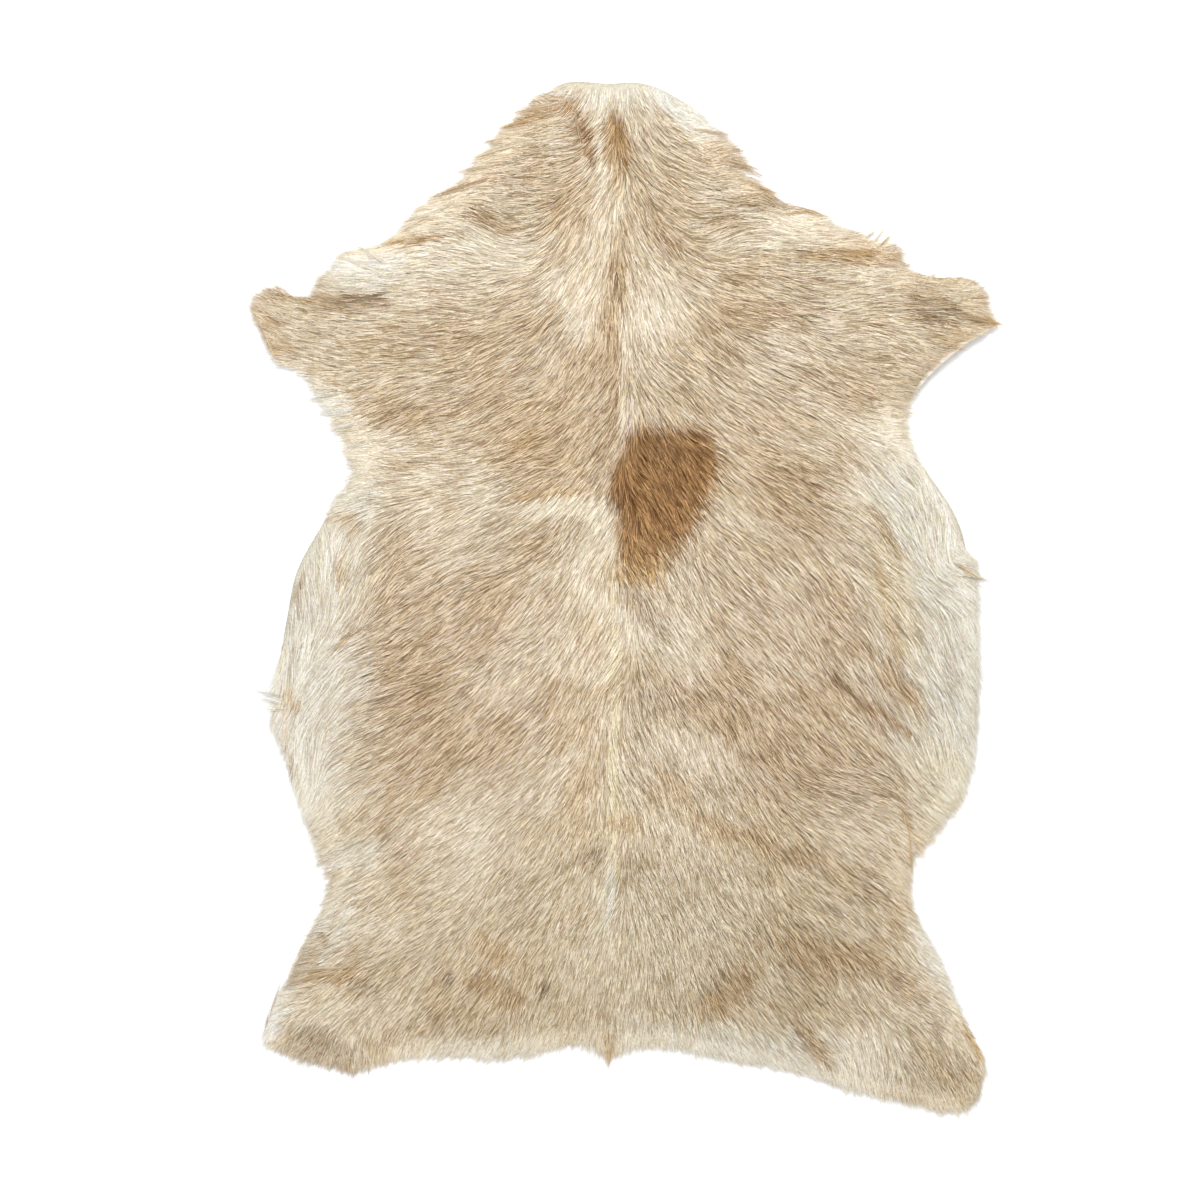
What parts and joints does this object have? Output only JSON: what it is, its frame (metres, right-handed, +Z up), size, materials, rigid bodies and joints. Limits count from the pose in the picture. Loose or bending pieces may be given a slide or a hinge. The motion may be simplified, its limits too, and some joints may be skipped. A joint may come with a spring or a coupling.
{
  "type": "goatskin rug",
  "caption": "Whole tanned goat hide with its hair on, lying flat, with a neck, forelegs, hind legs and a ragged hairy rim.",
  "frame": {"origin": "on the floor under the middle of the hide's outline box", "axes": "+Z up out of the coat, +Y along the spine towards the neck, +X across the back towards the right of the picture"},
  "size_m": [0.6568, 0.9016, 0.0127],
  "materials": {
    "coat": "short straight goat hair, cream and beige with a brown patch, matt with a soft sheen",
    "leather": "pale suede-like flesh side and cut edge, matt"
  },
  "bodies": {
    "root": {"goatskin": "coat"}
  },
  "joints": []
}
